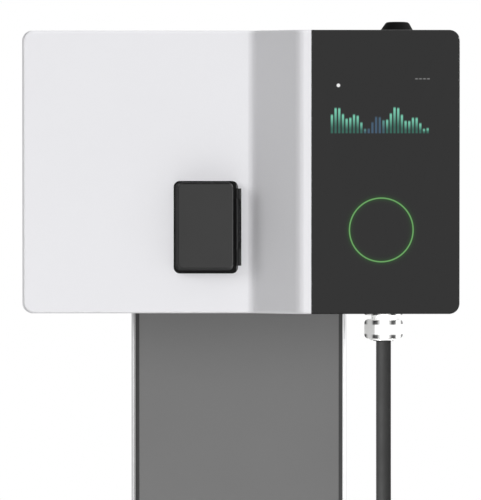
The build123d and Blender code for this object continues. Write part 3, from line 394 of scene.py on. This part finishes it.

# Display block: a black moulded tray on the cover's ledge, behind one pane of black-backed glass.
# The display shines through the pane as a row of slim bars with a small lamp and a dashed line above them.
# The light ring lies in a groove of the pane, and its glow on the glass beside it is painted light: green
# emission on the pane.
pane_black = (0.002, 0.002, 0.002, 1)
pane_ripple = (40.0, 2.0)
pane_roughness = (0.06, 0.03)
unlit = (0, 0, 0, 1)
ring_low, ring_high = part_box("light_ring")
ring_middle = (ring_low + ring_high) / 2
ring_half_stroke = 0.001
ring_radius = (ring_high.x - ring_low.x) / 2 - ring_half_stroke
painted_glow_width = 0.0030
painted_glow_green = (0.0015, 0.024, 0.001, 1)
screen_low, screen_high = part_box("lcd_module")
bar_pitch = 0.0042
bar_count = 27
bar_height = 0.030
bars_left = screen_low.x + 0.004
bars_right = bars_left + bar_count * bar_pitch
bars_foot = screen_low.z + 0.006
foot_blur = 0.02
bar_half = 0.30
bar_blur = 0.1
crest_mean = 0.56
wave_height = 0.24
wave_step = 0.42
wave_start = 0.6
ripple_height = 0.20
ripple_step = 1.17
crest_blur = 0.05
bar_deep = (0.012, 0.105, 0.075, 1)
bar_bright = (0.165, 0.560, 0.400, 1)
bright_from = 0.2
bar_blue = (0.030, 0.075, 0.130, 1)
blue_step = 0.31
blue_start = 4.3
blue_from = 0.35
blue_to = 0.95
lamp_white = (0.85, 0.85, 0.85, 1)
lamp_x = screen_low.x + 0.0135
lamp_z = screen_high.z - 0.0165
lamp_core = 0.00147
lamp_rim = 0.00252
dash_white = (0.16, 0.16, 0.16, 1)
dash_left = screen_high.x - 0.024
dash_right = screen_high.x - 0.006
dash_level = screen_high.z - 0.0090
dash_half = 0.0007
dash_pitch = 0.0045
dash_share = 0.7


def off_ring(place):
    """Distance from the middle of the ring's stroke, outwards or inwards."""
    across = place.axis(0) - ring_middle.x
    up = place.axis(2) - ring_middle.z
    return across.hypot(up) - ring_radius


def display_pane(place):
    """Black pane: the painted glow of the ring's light beside it, the bars, the lamp and the dashed line."""
    x = place.axis(0)
    z = place.axis(2)
    spread = off_ring(place) / painted_glow_width
    # Painted light: the ring's green glow is emitted by the pane beside the ring.
    glow = 1 / (1 + spread * spread * spread * spread)
    light = glow.mix(unlit, painted_glow_green)

    column = (x - bars_left) / bar_pitch
    bar = column.whole()
    level = (z - bars_foot) / bar_height
    wave = wave_height * (bar * wave_step + wave_start).sine()
    crest = crest_mean + wave + ripple_height * (bar * ripple_step).sine()
    lit = (1 - (column - bar - 0.5).size().edge(bar_half, bar_blur)) * level.edge(0, foot_blur)
    lit = lit * (1 - (level - crest).edge(0, crest_blur)) * (x > bars_left) * (x < bars_right)
    tint = (level / crest).steps(bright_from, 1).mix(bar_deep, bar_bright)
    blue = (bar * blue_step + blue_start).sine().steps(blue_from, blue_to)
    light = lit.mix(light, blue.mix(tint, bar_blue))

    lamp = 1 - (x - lamp_x).hypot(z - lamp_z).steps(lamp_core, lamp_rim)
    light = lamp.mix(light, lamp_white)

    along = (x - dash_left) / dash_pitch
    dash = ((along - along.whole()) < dash_share) * (x > dash_left) * (x < dash_right)
    dash = dash * ((z - dash_level).size() < dash_half)
    return {"Roughness": place.noise(*pane_ripple).rise(*pane_roughness),
            "Emission Color": dash.mix(light, dash_white)}


black_pane = finish("black_pane", {"Base Color": pane_black, "Specular IOR Level": 0.43,
                                   "Emission Strength": 1.0}, display_pane)
dress(black_pane, "display_glass")
black_light = (0.020, 0.020, 0.021, 1)
black_dark = (0.015, 0.015, 0.016, 1)
black_grain = 1100.0
black_roughness = 0.5

black = moulded(black_light, black_dark, black_grain, black_roughness)
black_moulding = finish("black_moulding", {"Specular IOR Level": 0.2}, black)
dress(black_moulding, "display_housing")

# Light ring: a clear acrylic guide, moulded with legs that reach back to the lamps of its board.
# It is pressed into the pane's groove and lit green, brightest along the middle of its stroke.
acrylic_light = (0.03, 0.07, 0.02, 1)
acrylic_dark = (0.02, 0.06, 0.02, 1)
acrylic_ripple = (120.0, 2.0)
glow_bright = (0.135, 0.340, 0.114, 1)
glow_dim = (0.115, 0.289, 0.097, 1)
rim_green = (0.003, 0.034, 0.002, 1)
core_half = 0.00068
core_blur = 0.0002


def lit_acrylic(place):
    ripple = place.noise(*acrylic_ripple)
    rim = off_ring(place).size().edge(core_half, core_blur)
    return {"Base Color": ripple.mix(acrylic_dark, acrylic_light),
            "Emission Color": rim.mix(ripple.mix(glow_bright, glow_dim), rim_green)}


dress(finish("lit_acrylic", {"Roughness": 0.3, "Specular IOR Level": 0.2, "Emission Strength": 1.0},
             lit_acrylic), "light_ring")

# Socket core and the post's cap: black glass-filled nylon mouldings.
# The core is clamped behind the socket frame, and the cap is pressed into the top of the post.
dress(black_moulding, "socket_core", "post_top_cap")

# Socket frame: a black moulding, its black deepened into painted shade so it reads as the shadowed gap round
# the lid. Its knuckles on the right carry painted light on a strip at their left and painted shade beyond it.
# It clamps the socket to the cover with screws from behind and carries the fixed half of the hinge.
frame_light = (0.009, 0.009, 0.009, 1)
frame_dark = (0.006, 0.006, 0.006, 1)
painted_knuckle_light = (0.125, 0.125, 0.128, 1)
painted_knuckle_shade = (0.015, 0.015, 0.015, 1)
socket_grain = 1100.0
socket_roughness = 0.55
lid_low, lid_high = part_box("socket_lid")
hinge_left = lid_high.x - 0.0058
hinge_right = hinge_left + 0.0020


def frame_moulding(place):
    surface = moulded(frame_light, frame_dark, socket_grain, socket_roughness)(place)
    x = place.axis(0)
    # Painted light on the knuckles' left strip, painted shade on the rest of them.
    knuckles = (x > hinge_right).mix(painted_knuckle_light, painted_knuckle_shade)
    surface["Base Color"] = (x > hinge_left).mix(surface["Base Color"], knuckles)
    return surface


dress(finish("frame_moulding", {"Specular IOR Level": 0.1}, frame_moulding), "socket_frame")

# Socket lid: moulded in charcoal nylon, with a fine matt grain on its face. Its sides and the gap beside the
# barrel carry painted shade, and its hinge barrel painted light.
# It turns on the pin along its right side, through the frame's knuckles.
charcoal_light = (0.055, 0.055, 0.055, 1)
charcoal_dark = (0.050, 0.050, 0.050, 1)
painted_barrel_light = (0.180, 0.180, 0.184, 1)
painted_side_shade = (0.020, 0.020, 0.020, 1)
painted_sole_shade = (0.038, 0.038, 0.038, 1)
painted_gap_shade = (0.005, 0.005, 0.005, 1)
face_left = lid_low.x + 0.0038
face_right = lid_high.x - 0.0096
face_bottom = lid_low.z + 0.0033
face_top = lid_high.z - 0.0024
face_blur = 0.0004


def lid_moulding(place):
    """Grained face, painted light on the hinge barrel, painted shade on the sides, and the deepest painted
    shade above and beside the barrel.
    """
    surface = moulded(charcoal_light, charcoal_dark, socket_grain, socket_roughness)(place)
    x = place.axis(0)
    z = place.axis(2)
    face = x.between(face_left, face_right, face_blur) * z.between(face_bottom, face_top, face_blur)
    # Painted shade on the sides, and above and beside the barrel; painted light on the barrel.
    sides = (z < face_bottom).mix(painted_side_shade, painted_sole_shade)
    sides = ((x > face_right) + (z > face_top)).mix(sides, painted_gap_shade)
    sides = x.between(hinge_left, hinge_right, face_blur).mix(sides, painted_barrel_light)
    surface["Base Color"] = face.mix(sides, surface["Base Color"])
    return surface


dress(finish("charcoal_moulding", {"Specular IOR Level": 0.05}, lid_moulding), "socket_lid")

# Hinge pin and spring of the lid: steel rod and coiled spring wire, both blackened in an oxide bath.
# The pin is pressed through the knuckles, and the coil round it pulls the lid shut.
oxide_light = (0.012, 0.012, 0.013, 1)
oxide_dark = (0.006, 0.006, 0.006, 1)
oxide_film = (700.0, 2.0)
oxide_roughness = (0.34, 0.2)


def blackened_steel(place):
    film = place.noise(*oxide_film)
    return {"Base Color": film.mix(oxide_light, oxide_dark), "Roughness": film.rise(*oxide_roughness)}


dress(finish("blackened_steel", {"Metallic": 1.0}, blackened_steel), "lid_hinge_pin", "lid_spring")

# Contacts of the socket and the connector: turned from brass bar and silver plated.
# They are pressed into the bores of the moulded cores.
silver_light = (0.86, 0.84, 0.80, 1)
silver_dark = (0.74, 0.72, 0.67, 1)
tarnish_pattern = (260.0, 3.0)
silver_roughness = (0.22, 0.16)


def silver_plating(place):
    tarnish = place.noise(*tarnish_pattern)
    return {"Base Color": tarnish.mix(silver_light, silver_dark),
            "Roughness": tarnish.rise(*silver_roughness)}


silver_brass = finish("silver_plated_brass", {"Metallic": 1.0}, silver_plating)
dress(silver_brass, "socket_contacts", "connector_contacts")

# Aerial dome on the roof: black moulded plastic on a threaded stud.
# The stud goes through the tub's roof, and a nut inside holds it.
aerial_light = (0.0065, 0.0065, 0.0065, 1)
aerial_dark = (0.0045, 0.0045, 0.0045, 1)
aerial_grain = 1200.0
aerial_roughness = 0.5

aerial = moulded(aerial_light, aerial_dark, aerial_grain, aerial_roughness)
dress(finish("aerial_moulding", {"Specular IOR Level": 0.04}, aerial), "antenna_dome", "antenna_nut")

# Cable gland under the box: brass hexagons, turned from bar and nickel plated.
# It is screwed through the tub's floor and held by a locknut inside.
# The chamfers at the ends of the hexagons' edges carry painted shade, darker than the milled flats.
nickel_light = (0.96, 0.96, 0.95, 1)
nickel_dark = (0.90, 0.90, 0.89, 1)
painted_chamfer_shade = (0.07, 0.07, 0.07, 1)
turning = (30.0, 30.0, 2600.0)
turning_pattern = (1.0, 2.0)
nickel_roughness = (0.30, 0.1)
nickel_relief = (0.04, 0.0002)
nut_low, nut_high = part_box("gland_nut")
nut_middle = (nut_low + nut_high) / 2
chamfer_radius = 0.0205
chamfer_low = nut_low.z + 0.0070
chamfer_high = nut_high.z - 0.0060
chamfer_blur = 0.0010


def nickel_plating(place):
    turned = place.stretch(*turning).noise(*turning_pattern)
    off_axis = (place.axis(0) - nut_middle.x).hypot(place.axis(1) - nut_middle.y)
    flats = place.axis(2).between(chamfer_low, chamfer_high, chamfer_blur)
    # Painted shade on the chamfers at the hexagons' corners.
    chamfer_shade = off_axis.edge(chamfer_radius, chamfer_blur) * (1 - flats)
    return {"Base Color": chamfer_shade.mix(turned.mix(nickel_light, nickel_dark), painted_chamfer_shade),
            "Roughness": turned.rise(*nickel_roughness), "Normal": turned.bump(*nickel_relief)}


nickel_brass = finish("nickel_plated_brass", {"Metallic": 0.6}, nickel_plating)
dress(nickel_brass, "gland_body", "gland_nut", "gland_locknut")

# Charging cable: five cores in a black rubber-like sheath, drawn as one length. It hangs from the gland, and
# the length that isn't in use lies beside the post in a flat coil of two layers, wound inwards and out again.
cable_diameter = 0.0175
cable_route = [
    (0.1693, -0.1065, 0.9580),
    (0.1693, -0.1065, 0.7638),
    (0.1702, -0.1085, 0.5375),
    (0.1706, -0.1060, 0.3300),
    (0.1698, -0.0930, 0.1886),
    (0.1680, -0.0580, 0.1000),
    (0.1650, -0.0080, 0.0500),
    (0.1628, 0.0480, 0.0291),
]
tail_route = [
    (0.4212, 0.0480, 0.0109),
    (0.4218, -0.0120, 0.0114),
    (0.4168, -0.0700, 0.0130),
    (0.4078, -0.1260, 0.0130),
]
coil_centre = (0.292, 0.048)
coil_outer = 0.1292
coil_inner = 0.070
coil_top = 0.0291
coil_low = 0.0109
coil_turns = 3
drop_turns = 0.5
turn_points = 16
cord_steps = 6
cord_roundness = 8
sheath_light = (0.043, 0.043, 0.043, 1)
sheath_dark = (0.034, 0.034, 0.034, 1)
scuff_pattern = (55.0, 4.0)
scuff_roughness = (0.55, 0.16)
sheath_grain = (1400.0, 2.0)
sheath_relief = (0.12, 0.0002)


def coil_points():
    """Turns wound inwards on top, half a turn down at the middle, and as many outwards below."""
    hold = 1 / math.cos(math.pi / turn_points)
    whole = 2 * coil_turns + drop_turns
    points = []
    for step in range(1, round(whole * turn_points)):
        turn = step / turn_points
        inwards = min(turn, coil_turns)
        outwards = max(turn - coil_turns - drop_turns, 0)
        radius = coil_outer - (coil_outer - coil_inner) * (inwards - outwards) / coil_turns
        sunk = min(max((turn - coil_turns) / drop_turns, 0), 1)
        angle = math.pi - 2 * math.pi * turn
        points.append((coil_centre[0] + hold * radius * math.cos(angle),
                       coil_centre[1] + hold * radius * math.sin(angle),
                       coil_top + (coil_low - coil_top) * sunk))
    return points


def make_cord(name, points, diameter, material):
    """Round cord along one smooth spline."""
    curve = bpy.data.curves.new(name, "CURVE")
    curve.dimensions = "3D"
    spline = curve.splines.new("NURBS")
    spline.points.add(len(points) - 1)
    for point, place in zip(spline.points, points):
        point.co = (*place, 1)
    spline.order_u = 3
    spline.use_endpoint_u = True
    spline.resolution_u = cord_steps
    curve.bevel_depth = diameter / 2
    curve.bevel_resolution = cord_roundness
    curve.use_fill_caps = True
    return add_piece(name, curve, material)


def sheath(place):
    scuff = place.noise(*scuff_pattern)
    return {"Base Color": scuff.mix(sheath_light, sheath_dark), "Roughness": scuff.rise(*scuff_roughness),
            "Normal": place.noise(*sheath_grain).bump(*sheath_relief)}


cable = make_cord("charge_cable", cable_route + coil_points() + tail_route, cable_diameter,
                  finish("cable_sheath", {"Specular IOR Level": 0.2}, sheath))
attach(cable, "station")
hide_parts("charging_cable", "cable_coil", "cable_tail")

# Straps round the coil: woven hook-and-loop tape in black.
# Each is wrapped round the turns, pressed onto itself and sewn where its ends meet.
strap_light = (0.026, 0.026, 0.028, 1)
strap_dark = (0.012, 0.012, 0.013, 1)
weave_rate = 2400.0
weave_low = -0.6
weave_high = 0.8
weave_relief = (0.5, 0.0004)


def webbing(place):
    warp = (place.axis(0) * weave_rate).sine()
    weft = (place.axis(2) * weave_rate + place.axis(1) * weave_rate).sine()
    weave = warp * weft
    return {"Base Color": weave.steps(weave_low, weave_high).mix(strap_dark, strap_light),
            "Normal": weave.bump(*weave_relief)}


dress(finish("strap_webbing", {"Roughness": 0.85, "Specular IOR Level": 0.2}, webbing), "coil_straps")

# Stitches of the straps: two rows of grey polyester thread across each.
# They are sewn where the tape's ends lie on each other, and stand a little proud of it.
thread_light = (0.115, 0.115, 0.120, 1)
thread_dark = (0.060, 0.060, 0.064, 1)
twist_rate = 9000.0
twist_low = -0.5
twist_high = 0.9
twist_relief = (0.4, 0.0001)
thread_radius = 0.0005
stitch_length = 0.0019
row_stitches = 7
row_length = 0.0165
row_spacing = 0.012
strap_rows = 2
strap_count = 2
bead_segments = 8
bead_rings = 5
strap_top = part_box("coil_straps")[1].z


def twisted_thread(place):
    twist = (place.axis(0) * twist_rate + place.axis(1) * twist_rate).sine()
    return {"Base Color": twist.steps(twist_low, twist_high).mix(thread_dark, thread_light),
            "Normal": twist.bump(*twist_relief)}


def grow(name, sizes, build, place, material):
    """Piece made by a node tree: its named sizes go in, and a plain mesh in its place comes out."""
    tree = bpy.data.node_groups.new(name, "GeometryNodeTree")
    tree.interface.new_socket("Geometry", in_out="OUTPUT", socket_type="NodeSocketGeometry")
    keys = {}
    for label, value in sizes.items():
        kind = "NodeSocketInt" if isinstance(value, int) else "NodeSocketFloat"
        keys[label] = tree.interface.new_socket(label, in_out="INPUT", socket_type=kind).identifier
    entry = tree.nodes.new("NodeGroupInput")
    shape = build({label: Wire(tree, entry.outputs[label]) for label in sizes})
    solid = shape.node("GeometryNodeRealizeInstances", {}, {0: shape})
    painted = solid.node("GeometryNodeSetMaterial", {}, {"Geometry": solid, "Material": material})
    tree.links.new(painted.socket, tree.nodes.new("NodeGroupOutput").inputs[0])
    seed = bpy.data.objects.new(name + "_seed", bpy.data.meshes.new(name + "_seed"))
    bpy.context.scene.collection.objects.link(seed)
    growth = seed.modifiers.new("growth", "NODES")
    growth.node_group = tree
    for label, value in sizes.items():
        growth[keys[label]] = value
    mesh = bpy.data.meshes.new_from_object(seed.evaluated_get(bpy.context.evaluated_depsgraph_get()))
    bpy.data.objects.remove(seed)
    mesh.transform(place)
    return add_piece(name, mesh, material)


def stitch_rows(size):
    """One flat bead for each stitch, in rows across each strap."""
    bead = size["Thread"].node("GeometryNodeMeshUVSphere", {},
                               {"Segments": bead_segments, "Rings": bead_rings, "Radius": 1.0})
    rows = bead.node("GeometryNodeMeshGrid", {},
                     {"Size X": size["Row length"], "Size Y": size["Row spacing"],
                      "Vertices X": size["Stitches"], "Vertices Y": strap_rows})
    form = bead.node("ShaderNodeCombineXYZ", {},
                     {0: size["Stitch length"] / 2, 1: size["Thread"], 2: size["Thread"]})
    sewn = bead.node("GeometryNodeInstanceOnPoints", {}, {"Points": rows, "Instance": bead, "Scale": form})
    half = size["Strap spacing"] / 2
    front = bead.node("ShaderNodeCombineXYZ", {}, {1: 0 - half})
    back = bead.node("ShaderNodeCombineXYZ", {}, {1: half})
    straps = bead.node("GeometryNodeMeshLine", {"mode": "END_POINTS"},
                       {"Count": strap_count, 2: front, 3: back})
    return bead.node("GeometryNodeInstanceOnPoints", {}, {"Points": straps, "Instance": sewn})


stitch_sizes = {"Strap spacing": coil_outer + coil_inner, "Row spacing": row_spacing,
                "Row length": row_length, "Stitches": row_stitches, "Stitch length": stitch_length,
                "Thread": thread_radius}
stitches = grow("strap_stitches", stitch_sizes, stitch_rows, Matrix.Translation((*coil_centre, strap_top)),
                finish("polyester_thread", {"Roughness": 0.7}, twisted_thread))
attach(stitches, "station")

# Connector: black nylon grip and nose, with a rubber boot moulded over the end of the cable.
# The grip is two half shells welded together, and the nose is pushed onto its collar.
dress(black_moulding, "connector_handle", "connector_nose")

# Grip ribs: soft rings moulded round the connector's handle, growing with it towards the collar.
# They lie with the handle, in line with the cable's end.
rib_count = 7
rib_thickness = 0.0011
rib_sides = 48
rib_edge_sides = 10
first_radius = 0.0164
last_radius = 0.0199
grip_length = 0.0328
grip_rise = 0.0042
grip_start = Vector((0.0924, 0, 0.0181))
tail_last = Vector(tail_route[-1])
tail_before = Vector(tail_route[-2])
grip_heading = math.atan2(tail_last.y - tail_before.y, tail_last.x - tail_before.x)


def grip_rings(size):
    """Rings spread along the handle, each scaled to the handle where it sits."""
    circle = size["Thickness"].node("GeometryNodeCurvePrimitiveCircle", {},
                                    {"Resolution": rib_sides, "Radius": 1.0})
    edge = circle.node("GeometryNodeCurvePrimitiveCircle", {},
                       {"Resolution": rib_edge_sides, "Radius": size["Thickness"] / size["First radius"]})
    ring = circle.node("GeometryNodeCurveToMesh", {}, {"Curve": circle, "Profile Curve": edge})
    reach = circle.node("ShaderNodeCombineXYZ", {}, {0: size["Length"], 2: size["Rise"]})
    line = circle.node("GeometryNodeMeshLine", {"mode": "END_POINTS"}, {"Count": size["Rings"], 3: reach})
    share = circle.node("GeometryNodeInputIndex", {}, {}) / (size["Rings"] - 1)
    scale = size["First radius"] + share * (size["Last radius"] - size["First radius"])
    evenly = circle.node("ShaderNodeCombineXYZ", {}, {0: scale, 1: scale, 2: scale})
    return circle.node("GeometryNodeInstanceOnPoints", {},
                       {"Points": line, "Instance": ring, "Scale": evenly, "Rotation": (0, math.pi / 2, 0)})


grip_sizes = {"Rings": rib_count, "Length": grip_length, "Rise": grip_rise, "First radius": first_radius,
              "Last radius": last_radius, "Thickness": rib_thickness}
grip_place = Matrix.Translation((tail_last.x, tail_last.y, 0)) @ Matrix.Rotation(grip_heading, 4, "Z")
ribs = grow("grip_ribs", grip_sizes, grip_rings, grip_place @ Matrix.Translation(grip_start), black_moulding)
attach(ribs, "station")

# Studio: white surroundings, dimmer for the soft fill and on the left in what polished faces mirror.
# A broad key from the right throws no shadow, and a weak light from the left throws a soft one.
# The cable and the rails stand outside the key, and small lights are for them and the gland alone.
fill_level = 0.27
left_level = 0.6
left_from = 0.2
left_to = 0.8
white = (1, 1, 1, 1)

world = bpy.data.worlds.new("studio")
bpy.context.scene.world = world
world.use_nodes = True
sky = world.node_tree
rays = sky.nodes.new("ShaderNodeLightPath")
seen = Wire(sky, rays.outputs["Is Camera Ray"])
soft = Wire(sky, rays.outputs["Is Diffuse Ray"])
heading = Wire(sky, sky.nodes.new("ShaderNodeTexCoord").outputs["Generated"])
mirrored = 1 - (1 - left_level) * (0 - heading.axis(0)).steps(left_from, left_to)
unseen = soft * fill_level + (1 - soft) * mirrored
backdrop = sky.nodes["Background"]
backdrop.inputs["Color"].default_value = white
sky.links.new((seen + (1 - seen) * unseen).socket, backdrop.inputs["Strength"])


def add_sun(name, strength, side, height, softness, shadow):
    """Distant light, with angles in degrees: right of the camera, above the floor and across its disc."""
    data = bpy.data.lights.new(name, "SUN")
    data.energy = strength
    data.angle = math.radians(softness)
    data.use_shadow = shadow
    sun = bpy.data.objects.new(name, data)
    sun.rotation_euler = (math.pi / 2 - math.radians(height), 0, math.radians(side))
    bpy.context.scene.collection.objects.link(sun)
    return sun


def limit(sun, state, *pieces):
    """Keeps a light to some pieces alone, or off them."""
    group = bpy.data.collections.new(sun.name + "_reach")
    for piece in pieces:
        group.objects.link(piece)
    sun.light_linking.receiver_collection = group
    for link in group.collection_objects:
        link.light_linking.link_state = state


key = add_sun("key", strength=4.75, side=71, height=12, softness=20, shadow=False)
limit(key, "EXCLUDE", cable, nodes["post_rail_left"], nodes["post_rail_right"])
rail_light = add_sun("rail_light", strength=0.8, side=45, height=0, softness=40, shadow=False)
limit(rail_light, "INCLUDE", nodes["post_rail_right"])
add_sun("left_light", strength=0.66, side=-42, height=15, softness=26, shadow=True)
cable_light = add_sun("cable_light", strength=3.0, side=-36, height=5, softness=20, shadow=False)
limit(cable_light, "INCLUDE", cable, nodes["gland_body"], nodes["gland_nut"])

# Camera: a long lens almost level with the middle of the box, as in the photograph.
# It stands a little to the left and looks slightly down, so the box shows nearly square.
lens_millimetres = 251.07
camera_place = (-0.041, -4.2, 1.133)
camera_turn = math.radians(0.5905)
camera_dip = math.radians(1.18)

camera_data = bpy.data.cameras.new("camera")
camera_data.lens = lens_millimetres
camera = bpy.data.objects.new("camera", camera_data)
camera.location = camera_place
camera.rotation_euler = (math.pi / 2 - camera_dip, 0, -camera_turn)
bpy.context.scene.collection.objects.link(camera)
bpy.context.scene.camera = camera
bpy.context.scene.view_settings.view_transform = "Standard"
